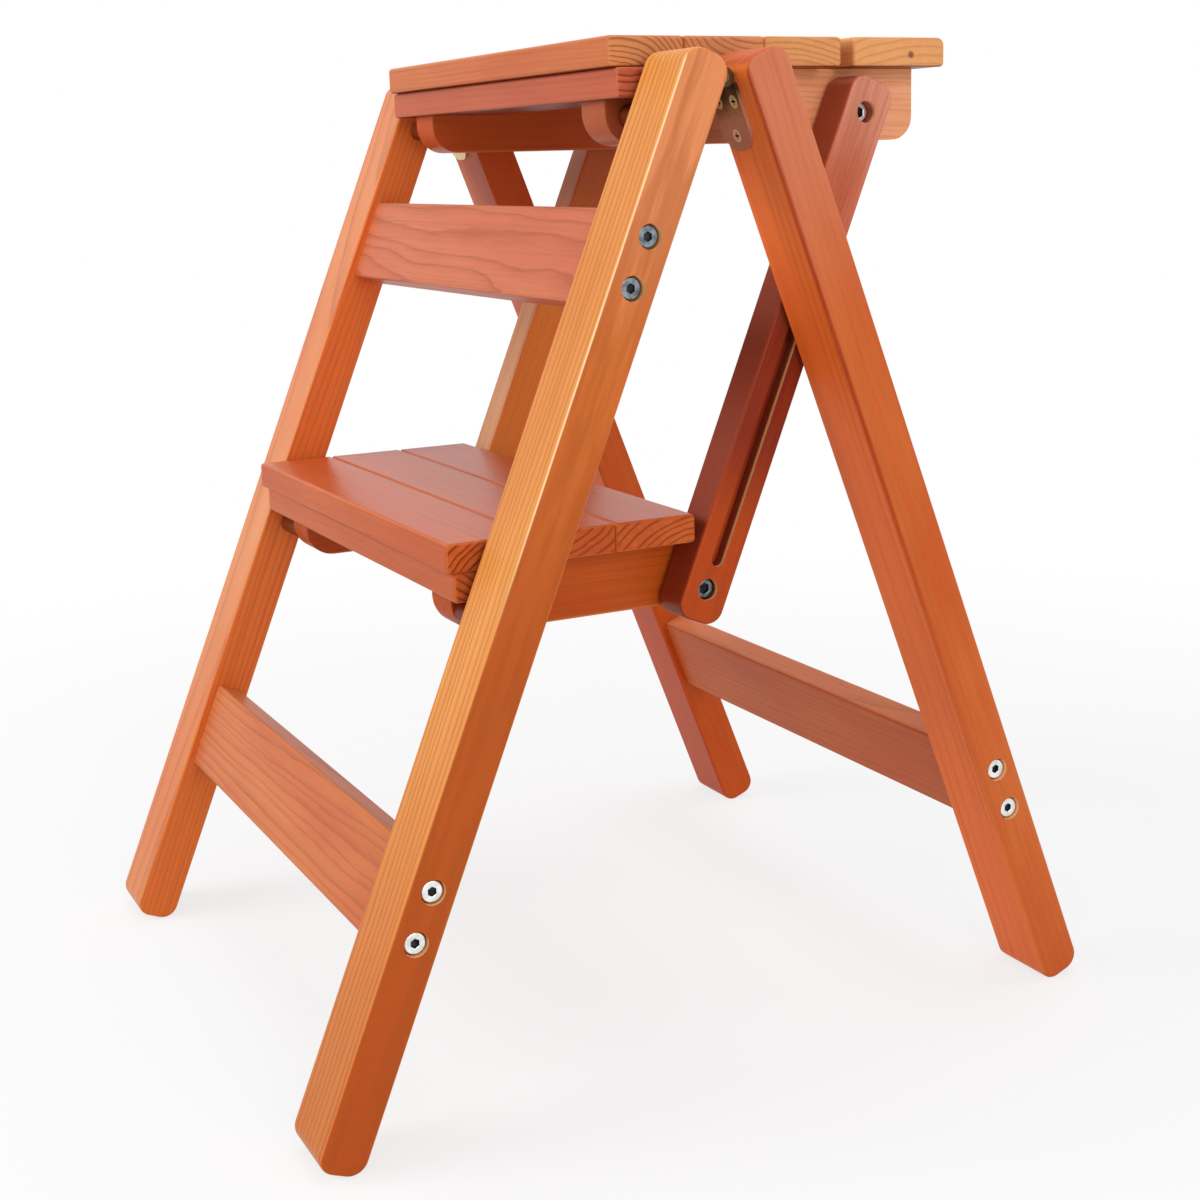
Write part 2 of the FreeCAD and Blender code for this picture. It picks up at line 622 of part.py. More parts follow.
def rail(label, half_tall, place_expressions, turn, screw_in_rail):
    """Rail between the legs, with two screw bores in the end grain of each end."""
    body = new_body(label)
    profile = new_sketch(body, "YZ_Plane", label + "_profile")
    outline(profile, [("-half_rail_thick", "-" + half_tall, "rail_round"),
                      ("half_rail_thick", "-" + half_tall, "rail_round"),
                      ("half_rail_thick", half_tall, "rail_round"),
                      ("-half_rail_thick", half_tall, "rail_round")])
    pad(body, profile, "rail_length", both_ways=True)
    doc.recompute()
    bore = bores(body, label + "_bores", "inner_face", [("0", "half_pitch"), ("0", "-half_pitch")],
                 ("screw_shank", "fixed_fit"), screw_in_rail)
    doc.recompute()
    both = body.newObject("PartDesign::Mirrored", label + "_both_ends")
    both.Originals = [bore]
    both.MirrorPlane = (origin_plane(body, "YZ_Plane"), [""])
    body.Tip = both
    place(body, None, place_expressions[0], place_expressions[1], angle=turn)
    finish(body, label)


def board(label, deck, low, high, bottom, top, length, rear_top_round=None):
    """Board across the stool, rounded all over."""
    body = new_body(label)
    profile = new_sketch(body, "YZ_Plane", label + "_profile")
    outline(profile, [(low, bottom, None), (high, bottom, None),
                      (high, top, rear_top_round), (low, top, None)])
    pad(body, profile, length, both_ways=True)
    soften(body, "board_round")
    place(body, None, "Sizes.%s_pivot_y" % deck, "Sizes.%s_pivot_z" % deck)
    finish(body, label)


def bearer(deck, rear_top_round):
    """Bearer under the board ends: notched for the under board, bored for the leg pin and the insert nut."""
    label = deck + "_bearer_right"
    body = new_body(label)
    profile = new_sketch(body, "YZ_Plane", label + "_profile")
    low = deck + "_bearer_bottom"
    notch = deck + "_under_bottom"
    high = deck + "_board_under"
    outline(profile, [(deck + "_bearer_front", low, "bearer_nose_round"),
                      (deck + "_bearer_rear", low, "bearer_round"),
                      (deck + "_bearer_rear", high, rear_top_round), (deck + "_under_rear", high, None),
                      (deck + "_under_rear", notch, None), (deck + "_bearer_front", notch, None)])
    pad(body, profile, "bearer_thick")
    bores(body, label + "_pivot", "bearer_thick", [("0", "0")], ("pivot_pin", "turning_fit"),
          "pin_bore_in_bearer")
    bores(body, label + "_nut", "bearer_thick", [("arm", "0")], ("nut_dia", "fixed_fit"), "nut_long")
    place(body, "Sizes.bearer_inner", "Sizes.%s_pivot_y" % deck, "Sizes.%s_pivot_z" % deck)
    finish(body, label)
    left_copy(body, deck + "_bearer_left")


def link():
    """Link from the step bearer up to the seat bearer, grooved outside for the rear leg's pin."""
    label = "link_right"
    body = new_body(label)
    profile = new_sketch(body, "YZ_Plane", label + "_profile")
    outline(profile, [("-half_link_side", "link_low", "leg_round"),
                      ("half_link_side", "link_low", "leg_round"),
                      ("half_link_side", "link_high", "leg_round"),
                      ("-half_link_side", "link_high", "leg_round")])
    pad(body, profile, "link_thick")
    soften(body)
    outside = "link_thick"
    bores(body, label + "_step_sink", outside, [("0", "0")], ("bolt_sink_bore",), "step_bolt_counterbore")
    bores(body, label + "_seat_sink", outside, [("0", "link_pitch")], ("bolt_sink_bore",),
          "seat_bolt_counterbore")
    bores(body, label + "_bolt_bores", outside, [("0", "0"), ("0", "link_pitch")],
          ("bolt_shank", "turning_fit"), None)
    groove = new_sketch(body, "YZ_Plane", label + "_groove", outside)
    slot(groove)
    cut(body, groove, "track_deep")
    foot_y, foot_z = on_front_leg("Sizes.step_pivot_up + Sizes.arm * sin(Sizes.front_lean)",
                                  "Sizes.pivot_inset + Sizes.arm * cos(Sizes.front_lean)")
    place(body, "Sizes.link_inner", foot_y, foot_z, angle=FRONT_TURN)
    finish(body, label)
    left_copy(body, "link_left")


def slot(sketch):
    """Upright slot with round ends on the link's middle line."""
    half = value("half_track")
    ends = []
    for alias, turn in (("track_low_middle", math.pi), ("track_high_middle", 0)):
        circle = Part.Circle(FreeCAD.Vector(0, value(alias), 0), FreeCAD.Vector(0, 0, 1), half)
        end = sketch.addGeometry(Part.ArcOfCircle(circle, turn, turn + math.pi))
        pin_point(sketch, end, 3, "0", alias)
        ends.append(end)
    low, high = value("track_low_middle"), value("track_high_middle")
    for across, low_point, high_point in ((-half, 1, 2), (half, 2, 1)):
        side_line = Part.LineSegment(FreeCAD.Vector(across, low, 0), FreeCAD.Vector(across, high, 0))
        edge = sketch.addGeometry(side_line)
        sketch.addConstraint(Sketcher.Constraint("Tangent", ends[0], low_point, edge, 1))
        sketch.addConstraint(Sketcher.Constraint("Tangent", edge, 2, ends[1], high_point))
    sketch.addConstraint(Sketcher.Constraint("Equal", ends[0], ends[1]))
    made = sketch.addConstraint(Sketcher.Constraint("Radius", ends[0], half))
    sketch.setExpression("Constraints[%d]" % made, bound("half_track"))


def hinge_leaf(frame, side, sign, gaps):
    """Leaf that lies on a leg face, with its share of the knuckles rolled round the pin."""
    label = "hinge_%s_leaf_%s" % (frame, side.name)
    body = new_body(label)
    plate = new_sketch(body, "XZ_Plane", label + "_plate", sign + "hinge_stand")
    outline(plate, [("-half_leaf", "leaf_end", "leaf_round"), ("half_leaf", "leaf_end", "leaf_round"),
                    ("half_leaf", "leaf_top", None), ("-half_leaf", "leaf_top", None)])
    plate_pad = pad(body, plate, "leaf_thick")
    plate_pad.Reversed = sign == ""
    barrel = new_sketch(body, "YZ_Plane", label + "_barrel")
    circles(barrel, [("0", "0")], ("knuckle_dia",))
    pad(body, barrel, "leaf_wide", both_ways=True)
    for number, (low, high) in enumerate(gaps):
        gap = new_sketch(body, "XZ_Plane", "%s_gap_%d" % (label, number + 1))
        outline(gap, [(low, "knuckle_cut_low", None), (high, "knuckle_cut_low", None),
                      (high, "knuckle_cut_high", None), (low, "knuckle_cut_high", None)])
        cut(body, gap, "leaf_wide", both_ways=True)
    bore = new_sketch(body, "YZ_Plane", label + "_bore")
    circles(bore, [("0", "0")], ("hinge_pin", "turning_fit"))
    cut(body, bore, "past_barrel", both_ways=True)
    sinks = new_sketch(body, "XZ_Plane", label + "_screw_places", sign + "leaf_out")
    circles(sinks, [("half_pair", "pair_z"), ("-half_pair", "pair_z"), ("0", "last_z")], ("leaf_screw_shank",))
    doc.recompute()
    hole = body.newObject("PartDesign::Hole", label + "_screw_holes")
    hole.Profile = sinks
    hole.ThreadType = 0
    hole.HoleCutType = "Countersink"
    hole.HoleCutCustomValues = True
    hole.setExpression("Diameter", "Sizes.leaf_screw_shank + 2 * Sizes.fixed_fit")
    hole.setExpression("HoleCutDiameter", "Sizes.leaf_screw_head + 2 * Sizes.fixed_fit")
    hole.HoleCutCountersinkAngle = 90
    hole.DepthType = "ThroughAll"
    hole.Reversed = sign == ""
    cuts.append((body, hole))
    turn = FRONT_TURN if frame == "front" else REAR_TURN
    middle = "%d * (Sizes.inner_face + Sizes.leg_thick / 2) + Sizes.hinge_shift" % side.sign
    place(body, middle, "Sizes.hinge_y", "Sizes.hinge_z", angle=turn)
    finish(body, label)


def leaf_screws(frame, on_leg, sign, turn):
    """Three screws in each of the two leaves of one leg frame."""
    up = "Sizes.hinge_up" if frame == "front" else "Sizes.rear_hinge_up"
    face = "%s(Sizes.half_side + Sizes.leaf_thick)" % sign
    places = []
    for side in SIDES:
        middle = "%d * (Sizes.inner_face + Sizes.leg_thick / 2) + Sizes.hinge_shift" % side.sign
        for shift, reach in (("+ Sizes.half_pair", "pair_reach"), ("- Sizes.half_pair", "pair_reach"),
                             ("", "last_reach")):
            along, height = on_leg("%s - Sizes.%s" % (up, reach), face)
            places.append(("%s %s" % (middle, shift), along, height, X_AXIS, turn))
    group("hinge_%s_screws" % frame, one_leaf_screw, places)


for side in SIDES:
    front_leg(side)
    rear_leg(side)
rail("front_upper_rail", "half_upper_rail", on_front_leg("Sizes.upper_rail_up"), FRONT_TURN,
     "high_screw_in_rail")
rail("front_lower_rail", "half_lower_rail", on_front_leg("Sizes.lower_rail_rise"), FRONT_TURN,
     "low_screw_in_rail")
rail("rear_rail", "half_lower_rail", on_rear_leg("Sizes.rear_rail_rise"), REAR_TURN, "low_screw_in_rail")

seat_boards = (("seat_front", "seat_joint_1", None), ("seat_joint_1", "seat_joint_2", None),
               ("seat_joint_2", "seat_joint_3", None), ("seat_last", "seat_rear", "seat_rear_round"))
for number, (low, high, rear_top_round) in enumerate(seat_boards):
    board("seat_slat_%d" % (number + 1), "seat", low, high, "seat_board_under", "seat_top", "seat_length",
          rear_top_round)
step_boards = (("step_front", "step_joint_1"), ("step_joint_1", "step_joint_2"), ("step_joint_2", "step_rear"))
for number, (low, high) in enumerate(step_boards):
    board("step_slat_%d" % (number + 1), "step", low, high, "step_board_under", "step_top", "step_length")
for deck in ("seat", "step"):
    board(deck + "_under_board", deck, deck + "_under_front", deck + "_under_rear", deck + "_under_bottom",
          deck + "_board_under", deck + "_under_length")
bearer("seat", None)
bearer("step", "bearer_round")
link()

rail_screw = socket_screw("rail_screw", "screw", "screw_length", "socket_deep")
link_bolt = socket_screw("link_bolt", "bolt", "bolt_length", "bolt_socket_deep")
one_leaf_screw = leaf_screw()
rail_sets = (("front_upper_rail", on_front_leg, "upper_rail_up", "high_sink"),
             ("front_lower_rail", on_front_leg, "lower_rail_rise", "low_sink"),
             ("rear_rail", on_rear_leg, "rear_rail_rise", "low_sink"))
for name, on_leg, up, sink in rail_sets:
    points = [on_leg("Sizes.%s %s Sizes.half_pitch" % (up, sign)) for sign in "+-"]
    group(name + "_screws", rail_screw, across_pair("Sizes.overall_width / 2 - Sizes." + sink, points))

pivot_pin = rod("pivot_pin", "Sizes.pivot_pin", "-Sizes.pivot_pin_long", "0")
spacer = tube("spacer", "Sizes.spacer_dia", "Sizes.pivot_pin + 2 * Sizes.fixed_fit", "Sizes.spacer_long")
nut = tube("insert_nut", "Sizes.nut_dia", "Sizes.bolt_shank + 2 * Sizes.fixed_fit", "Sizes.nut_long")
washer = tube("washer", "Sizes.washer_dia", "Sizes.bolt_shank + 2 * Sizes.fixed_fit", "Sizes.washer_thick")
for deck in ("seat", "step"):
    pivot = ("Sizes.%s_pivot_y" % deck, "Sizes.%s_pivot_z" % deck)
    link_end = (pivot[0] + " + Sizes.arm", pivot[1])
    group(deck + "_pivot_pins", pivot_pin, across_pair("Sizes.inner_face + Sizes.pin_in_leg", [pivot]))
    group(deck + "_pivot_spacers", spacer, across_pair("Sizes.inner_face", [pivot]))
    group(deck + "_link_nuts", nut, across_pair("Sizes.bearer_outer", [link_end]))
    group(deck + "_link_washers", washer, across_pair("Sizes.bearer_outer + Sizes.washer_thick", [link_end]))
    head_place = "Sizes.inner_face - Sizes.link_leg_gap - Sizes.%s_bolt_sink" % deck
    group(deck + "_link_bolts", link_bolt, across_pair(head_place, [link_end]))

stud = joined("stud", rod("stud_bar", "Sizes.stud_body", "-Sizes.stud_shoulder", "Sizes.stud_in_leg"),
              rod("stud_end", "Sizes.stud_tip", "-Sizes.link_leg_gap - Sizes.stud_in_track",
                  "-Sizes.stud_shoulder"))
stud_point = on_rear_leg("Sizes.stud_up", "Sizes.stud_back")
group("rear_leg_studs", stud, across_pair("Sizes.inner_face", [stud_point]))

middle_gap = [("-middle_knuckle_cut", "middle_knuckle_cut")]
outer_gaps = [("outer_knuckle_cut", "past_leaf"), ("-past_leaf", "-outer_knuckle_cut")]
for side in SIDES:
    hinge_leaf("front", side, "", middle_gap)
    hinge_leaf("rear", side, "-", outer_gaps)
hinge_rod = rod("hinge_rod", "Sizes.hinge_pin", "-Sizes.half_leaf", "Sizes.half_leaf")
hinge_places = [("%d * (Sizes.inner_face + Sizes.leg_thick / 2) + Sizes.hinge_shift" % side.sign,
                 "Sizes.hinge_y", "Sizes.hinge_z", Y_AXIS, "90") for side in SIDES]
group("hinge_pins", hinge_rod, hinge_places)
leaf_screws("front", on_front_leg, "", "-90 - Sizes.front_lean")
leaf_screws("rear", on_rear_leg, "-", "90 + Sizes.rear_lean")

doc.recompute()
for thing in doc.Objects:
    if "Invalid" in thing.State or "Error" in thing.State:
        raise RuntimeError("%s failed: %s" % (thing.Name, thing.State))
for body, feature in cuts:
    before = feature.BaseFeature.Shape.Volume
    if feature.Shape.Volume > before - 1e-3:
        raise RuntimeError("%s cuts nothing" % feature.Name)
os.makedirs("parts", exist_ok=True)
for piece in pieces:
    if piece.Shape.isNull() or not piece.Shape.isValid():
        raise RuntimeError("%s has no valid shape" % piece.Label)
    piece.Shape.exportStep("parts/%s.step" % piece.Label)
box = Part.makeCompound([piece.Shape for piece in pieces]).BoundBox
print("%d nodes, %.2f x %.2f x %.2f mm" % (len(pieces), box.XLength, box.YLength, box.ZLength))
print("X %.3f %.3f  Y %.3f %.3f  Z %.3f %.3f" % (box.XMin, box.XMax, box.YMin, box.YMax, box.ZMin, box.ZMax))
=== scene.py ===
import math

import bmesh
import bpy
from mathutils import Matrix, Vector


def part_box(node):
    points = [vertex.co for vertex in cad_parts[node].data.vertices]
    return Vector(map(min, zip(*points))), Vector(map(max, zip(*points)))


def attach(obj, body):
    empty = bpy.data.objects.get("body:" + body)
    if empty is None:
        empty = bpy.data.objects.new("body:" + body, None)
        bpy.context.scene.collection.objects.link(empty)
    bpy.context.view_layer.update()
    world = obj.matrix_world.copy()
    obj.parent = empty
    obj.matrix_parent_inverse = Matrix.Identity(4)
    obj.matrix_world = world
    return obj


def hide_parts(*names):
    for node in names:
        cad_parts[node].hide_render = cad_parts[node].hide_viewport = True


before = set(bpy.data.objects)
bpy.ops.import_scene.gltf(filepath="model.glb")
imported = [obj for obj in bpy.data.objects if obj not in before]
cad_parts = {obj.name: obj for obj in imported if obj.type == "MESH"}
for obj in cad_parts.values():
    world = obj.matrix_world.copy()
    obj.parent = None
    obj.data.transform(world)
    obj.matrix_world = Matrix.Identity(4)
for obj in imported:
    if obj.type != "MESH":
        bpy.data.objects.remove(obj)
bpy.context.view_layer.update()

# Camera
# It stands to the right of the stool's front, a little below the seat, and looks slightly down.
# The place, the turns and the lens come from the lines of the stool in the photograph.
CAMERA_PLACE = (0.91064, -0.43735, 0.44298)
CAMERA_YAW = math.radians(62.92)
CAMERA_PITCH = math.radians(-10.82)
CAMERA_ROLL = math.radians(-1.52)
photo_camera = bpy.data.objects.new("photo_camera", bpy.data.cameras.new("photo_camera"))
photo_camera.data.sensor_width = 36
photo_camera.data.lens = 55.19
photo_camera.data.shift_x = -0.0029
photo_camera.data.shift_y = -0.0723
photo_camera.data.clip_start = 0.05
photo_camera.matrix_world = (
    Matrix.Translation(CAMERA_PLACE)
    @ Matrix.Rotation(CAMERA_YAW, 4, "Z")
    @ Matrix.Rotation(math.pi / 2 + CAMERA_PITCH, 4, "X")
    @ Matrix.Rotation(CAMERA_ROLL, 4, "Z")
)
bpy.context.scene.collection.objects.link(photo_camera)
bpy.context.scene.camera = photo_camera
bpy.context.scene.view_settings.view_transform = "Standard"


# Front legs
# Two straight pine bars with rounded ends, stained orange-red and lacquered. They lean back, and
# everything else hangs on them. The heart of the tree lay well outside each bar, so the lines of
# the year rings run straight along it. The rounded edges are lighter, partly from thin stain and
# partly as a painted highlight.
class Wire:
    """One socket in a finish. A sum on it adds a Math node, so a sum is for single numbers."""

    def __init__(self, finish, socket):
        self.finish = finish
        self.socket = socket

    def sum_with(self, operation, *numbers):
        made = self.finish.node("Math", {"operation": operation}, dict(enumerate(numbers)))
        return Wire(self.finish, made.outputs[0])

    def __add__(self, other):
        return self.sum_with("ADD", self, other)

    def __radd__(self, other):
        return self.sum_with("ADD", other, self)

    def __sub__(self, other):
        return self.sum_with("SUBTRACT", self, other)

    def __rsub__(self, other):
        return self.sum_with("SUBTRACT", other, self)

    def __mul__(self, other):
        return self.sum_with("MULTIPLY", self, other)

    def __rmul__(self, other):
        return self.sum_with("MULTIPLY", other, self)

    def __truediv__(self, other):
        return self.sum_with("DIVIDE", self, other)

    def __rtruediv__(self, other):
        return self.sum_with("DIVIDE", other, self)

    def __pow__(self, other):
        return self.sum_with("POWER", self, other)

    def __rpow__(self, other):
        return self.sum_with("POWER", other, self)

    def size(self):
        return self.sum_with("ABSOLUTE", self)

    def part_over(self):
        """What is left over whole numbers, from 0 to 1."""
        return self.sum_with("FRACT", self)

    def or_more(self, other):
        return self.sum_with("MAXIMUM", self, other)

    def fade(self, low, high):
        """0 at low, 1 at high and smooth between. High may be the lower one."""
        if low > high:
            return 1 - self.fade(high, low)
        made = self.finish.node("MapRange", {"interpolation_type": "SMOOTHSTEP"},
                                {"Value": self, "From Min": low, "From Max": high})
        return Wire(self.finish, made.outputs[0])


MILLIMETRES = (0.001, 0.001, 0.001)


class Finish:
    """The surface of one kind of piece: a node material that is built up step by step."""

    def __init__(self, name):
        self.material = bpy.data.materials.new(name)
        self.material.use_nodes = True
        self.tree = self.material.node_tree
        self.tree.nodes.clear()

    def node(self, kind, settings=None, sockets=None):
        """Any node: its type, its settings, then a number, a colour or a link for its sockets."""
        made = self.tree.nodes.new("ShaderNode" + kind)
        for name, setting in (settings or {}).items():
            if name == "stops":
                while len(made.color_ramp.elements) < len(setting):
                    made.color_ramp.elements.new(0.5)
                for stop, (position, shade) in zip(made.color_ramp.elements, setting):
                    stop.position = position
                    stop.color = (shade, shade, shade, 1)
            else:
                setattr(made, name, setting)
        for name, given in (sockets or {}).items():
            source = given.socket if isinstance(given, Wire) else given
            if isinstance(source, bpy.types.NodeSocket):
                self.tree.links.new(source, made.inputs[name])
            else:
                made.inputs[name].default_value = source
        return made

    def wire(self, kind, settings=None, sockets=None, output=0):
        return Wire(self, self.node(kind, settings, sockets).outputs[output])

    def mixed(self, first, second, share):
        """Two colours mixed by a share."""
        made = self.node("Mix", {"data_type": "RGBA"}, {0: share, 6: first, 7: second})
        return made.outputs[2]

    def noise(self, place, scale=1.0, detail=2.0, roughness=0.5):
        return self.wire("TexNoise", None, {"Vector": place, "Scale": scale, "Detail": detail,
                                            "Roughness": roughness})

    def stretched(self, place, scales):
        """A place with its three directions scaled one by one."""
        return self.wire("VectorMath", {"operation": "MULTIPLY"}, {0: place, 1: scales})

    def split(self, place):
        """The three numbers of a place or a direction."""
        return [Wire(self, output) for output in self.node("SeparateXYZ", None, {0: place}).outputs]

    def own_frame(self, middle, lean):
        """Places in millimetres from a leaning piece's middle, and the way its surface faces."""
        seen = self.node("TexCoord")
        turn = (math.radians(lean), 0, 0)
        place = self.wire("Mapping", {"vector_type": "TEXTURE"},
                          {"Vector": seen.outputs["Object"], "Location": middle, "Rotation": turn,
                           "Scale": MILLIMETRES})
        facing = self.wire("Mapping", {"vector_type": "TEXTURE"},
                           {"Vector": seen.outputs["Normal"], "Rotation": turn})
        return place, facing

    def end(self, colour, relief, height, **sockets):
        """Shader, bump and output. The relief is 0 to 1 and the height is in metres."""
        bump = self.node("Bump", None, {"Height": relief, "Distance": height, "Strength": 1.0})
        sockets["Base_Color"] = colour
        sockets["Normal"] = bump.outputs[0]
        shader = self.node("BsdfPrincipled", None, {name.replace("_", " "): given
                                                    for name, given in sockets.items()})
        self.node("OutputMaterial", None, {"Surface": shader.outputs[0]})
        return self.material


def paint(text):
    """A colour written as six hex digits, as the linear numbers that a colour socket takes."""
    parts = [int(text[i:i + 2], 16) / 255 for i in (0, 2, 4)]
    return tuple(p / 12.92 if p <= 0.04045 else ((p + 0.055) / 1.055) ** 2.4 for p in parts) + (1,)


def middle_and_half(node):
    """The middle of a node's box and half its three sizes, in metres."""
    low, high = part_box(node)
    return [(a + b) / 2 for a, b in zip(low, high)], [(b - a) / 2 for a, b in zip(low, high)]


def dress(node, finish):
    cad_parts[node].material_slots[0].material = finish


# How fast each pattern in the wood changes across, through and along the grain, per millimetre
DRIFT = (0.02, 0.02, 0.0045)
SWAY = (0.012, 0.02, 0.003)
RIPPLE = (0.1, 0.1, 0.018)
FIBRE = (2.6, 2.6, 0.035)
HAIR = (7.0, 7.0, 0.12)
STREAK = (0.32, 0.32, 0.0035)
CLOUD = (0.025, 0.025, 0.008)
BLOTCH = (0.17, 0.17, 0.016)
# A year starts pale, darkens slowly into its late wood and ends sharply: place in the year, darkness
YEAR = ((0, 0.7), (0.06, 0.1), (0.5, 0.06), (0.82, 0.5), (0.95, 1))
# How far the heart of the tree strays across and through a piece, in millimetres
STRAY = (16, 20)
# Between these a surface goes from not facing a direction to facing it, where 1 is squarely
SQUARELY = (0.6, 0.92)
# How far in from a face, in millimetres, the look of a rounded edge begins and is full
EDGE = (1.3, 0.4)
CORNER_FULL = 0.55
# How far from its middle, in millimetres, the dark of a knot begins and is full
KNOT_SPREAD = (2.6, 1.0)
KNOT_BROWN = "6b3434"
BARE_WOOD = "ffc890"
DARK_END = "7c3a18"
# The coat on all wood that isn't lacquered, and the height of the grain in metres
THIN_COAT = 0.05
GRAIN_RELIEF = 0.00007


def year_rings(wood, place, across, through, along, pith, ring, seed, wavy):
    """Late wood, 0 to 1, in rings round a pith that strays along the trunk, and their ripple."""
    drift = wood.noise(wood.stretched(place, DRIFT))
    sway = wood.noise(wood.stretched(place, SWAY), detail=1.0)
    ripple = wood.noise(wood.stretched(place, RIPPLE))
    side = across - pith[0] + (drift - 0.5) * STRAY[0]
    depth = through - pith[1] + (sway - 0.5) * STRAY[1]
    radius = (side * side + depth * depth) ** 0.5 + (ripple - 0.5) * wavy + along * pith[2]
    year = radius / ring
    uneven = wood.noise(wood.wire("CombineXYZ", None, {0: year * 0.37 + seed}), detail=1.0)
    share = (year + (uneven - 0.5) * 1.6).part_over()
    return wood.wire("ValToRGB", {"stops": YEAR}, {0: share}), ripple


def stained_pine(node, grain, pith, ring, seed, colours, lean=0, half=None, lines=0.3, ends=0.5,
                 wavy=1.6, stains_and_painted_light=(), rim=("e8a05c", 0.25), corner=None, plain_side=0, mottled=0,
                 lacquer=0, below=None, bored=None, knot=None):
    """Solid pine for one bar or board, in millimetres from its own middle.

    grain is the direction of the fibres before the lean, 0 for X, 1 for Y and 2 for Z. pith is
    the heart of the tree across the grain and how it slants, and ring the growth of one year.
    The seed moves every pattern, so that no two pieces share one. colours are the early wood,
    the early wood where the stain is thin, the late wood, and the late wood on the ends. half is
    half the sizes of a piece that leans, because its box doesn't give them. lines and ends say
    how clearly the rings show on the long faces and on the ends, and wavy how much they ripple.

    The stains and painted light are laid over the wood one by one, some as real stain and some as
    painted light or painted shade: the direction that the tinted faces face, or None for all of
    them, the colour, how much of it, and where along the bar it begins and is full. rim is the
    colour of the rounded edges and how much of it; a lighter rim is partly thin stain and partly a
    painted highlight. corner is one long edge with a run of stain, or a pale line that is partly
    raw wood and partly a painted highlight: its colour, its width, the two sides it lies on, and
    where it begins and is full. plain_side is how much the rings fade on the side faces, mottled
    how blotchy these are, lacquer the shine of a top face, and below the painted shade of an
    underside.
    bored is how deep the counterbores in the side faces go, and between which distances from the
    middle they lie, because their walls are bare wood. knot is the place of a knot on the ends.
    """
    middle, box_half = middle_and_half(node)
    half = half or [size * 1000 for size in box_half]
    early, thin, late, end_late = [paint(colour) for colour in colours]
    wood = Finish(node + "_pine")
    own, facing = wood.own_frame(middle, lean)
    axes = wood.split(own)
    aims = wood.split(facing)
    faces = [aim.size().fade(*SQUARELY) for aim in aims]
    first, second = [i for i in (0, 1, 2) if i != grain]
    across, through, along = axes[first], axes[second], axes[grain]
    side_face = faces[first]
    end_grain = faces[grain]
    place = wood.wire("CombineXYZ", None, {0: across + seed, 1: through - seed * 2, 2: along + seed * 7})

    # Rings, fibres, streaks and clouds of stain, and the rounded edges
    late_wood, ripple = year_rings(wood, place, across, through, along, pith, ring, seed, wavy)
    fibre = wood.noise(wood.stretched(place, FIBRE), detail=3.0, roughness=0.6)
    hair = wood.noise(wood.stretched(place, HAIR))
    streak = wood.noise(wood.stretched(place, STREAK), detail=3.0)
    cloud = wood.noise(wood.stretched(place, CLOUD), detail=3.0)
    near = [axis.size().fade(reach - EDGE[0], reach - EDGE[1]) for axis, reach in zip(axes, half)]
    edge = (near[0] * near[1]).or_more(near[1] * near[2]).or_more(near[2] * near[0])

    # The stained wood, then what lies over it
    body = wood.mixed(early, thin, (streak * 0.45 + cloud * 0.55).fade(0.38, 0.64))
    # Stains, and on some pieces painted light and shade: faces tinted by the way they face, lighter tops
    for axis, colour, amount, *stretch in stains_and_painted_light:
        taken = amount if axis is None else faces[axis] * amount
        body = wood.mixed(body, paint(colour), along.fade(*stretch) * taken if stretch else taken)
    long_lines = late_wood * (0.45 + fibre * 0.55) * lines * (1 - end_grain)
    if plain_side:
        long_lines = long_lines * (1 - side_face * plain_side)
    body = wood.mixed(body, late, long_lines + fibre.fade(0.5, 0.8) * 0.28)
    soaked = streak.fade(0.48, 0.7) * (1 - end_grain)
    body = wood.mixed(body, late, hair.fade(0.55, 0.8) * 0.14 + soaked * 0.24)
    if mottled:
        blotch = wood.noise(wood.stretched(place, BLOTCH), detail=3.0)
        body = wood.mixed(body, late, blotch.fade(0.42, 0.62) * side_face * mottled)
    body = wood.mixed(body, end_late, end_grain * late_wood.fade(0.15, 0.7) * (0.5 + fibre * 0.5) * ends)
    # Rounded edges: where the rim colour is lighter, it is partly thin stain and partly a painted
    # highlight
    body = wood.mixed(body, paint(rim[0]), edge * rim[1] * (0.6 + fibre * 0.8) * (1 - end_grain))
    # One long edge: a run of stain, or a pale line that is partly raw wood and partly a painted highlight
    if corner:
        colour, width, across_sign, through_sign, begin, full = corner
        line = (across * across_sign).fade(half[first] - width, half[first] - CORNER_FULL)
        line = line * (through * through_sign).fade(half[second] - width, half[second] - CORNER_FULL)
        body = wood.mixed(body, paint(colour), line * along.fade(begin, full) * (0.3 + fibre))
    # Painted shade: the underside is painted darker
    if below:
        body = wood.mixed(body, paint(below[0]), (0 - aims[2]).fade(*SQUARELY) * below[1])
    if bored:
        deep, nearest, farthest = bored
        wall = across.size().fade(half[first] - deep, half[first] - deep * 0.3)
        wall = wall * aims[first].size().fade(0.6, 0.2)
        wall = wall * through.size().fade(half[second] - 2, half[second] - 3)
        wall = wall * along.size().fade(nearest - 1, nearest) * along.size().fade(farthest + 1, farthest)
        body = wood.mixed(body, paint(BARE_WOOD), wall * 0.9)
    if knot:
        knot_across = across - knot[0]
        knot_through = through - knot[1]
        spot = (knot_across * knot_across + knot_through * knot_through) ** 0.5 + (ripple - 0.5) * 2
        body = wood.mixed(body, paint(KNOT_BROWN), spot.fade(*KNOT_SPREAD) * end_grain * 0.8)
    relief = late_wood * 0.35 + fibre * 0.4 + hair * 0.25
    gloss = 0.34 + fibre * 0.08 + end_grain * 0.14
    shine = aims[2].fade(0.7, 0.95) * lacquer + THIN_COAT if lacquer else THIN_COAT
    dress(node, wood.end(body, relief, GRAIN_RELIEF, Roughness=gloss, Coat_Weight=shine,
                         Coat_Roughness=0.2, Specular_IOR_Level=0.08))


FRONT_LEAN = -22.4
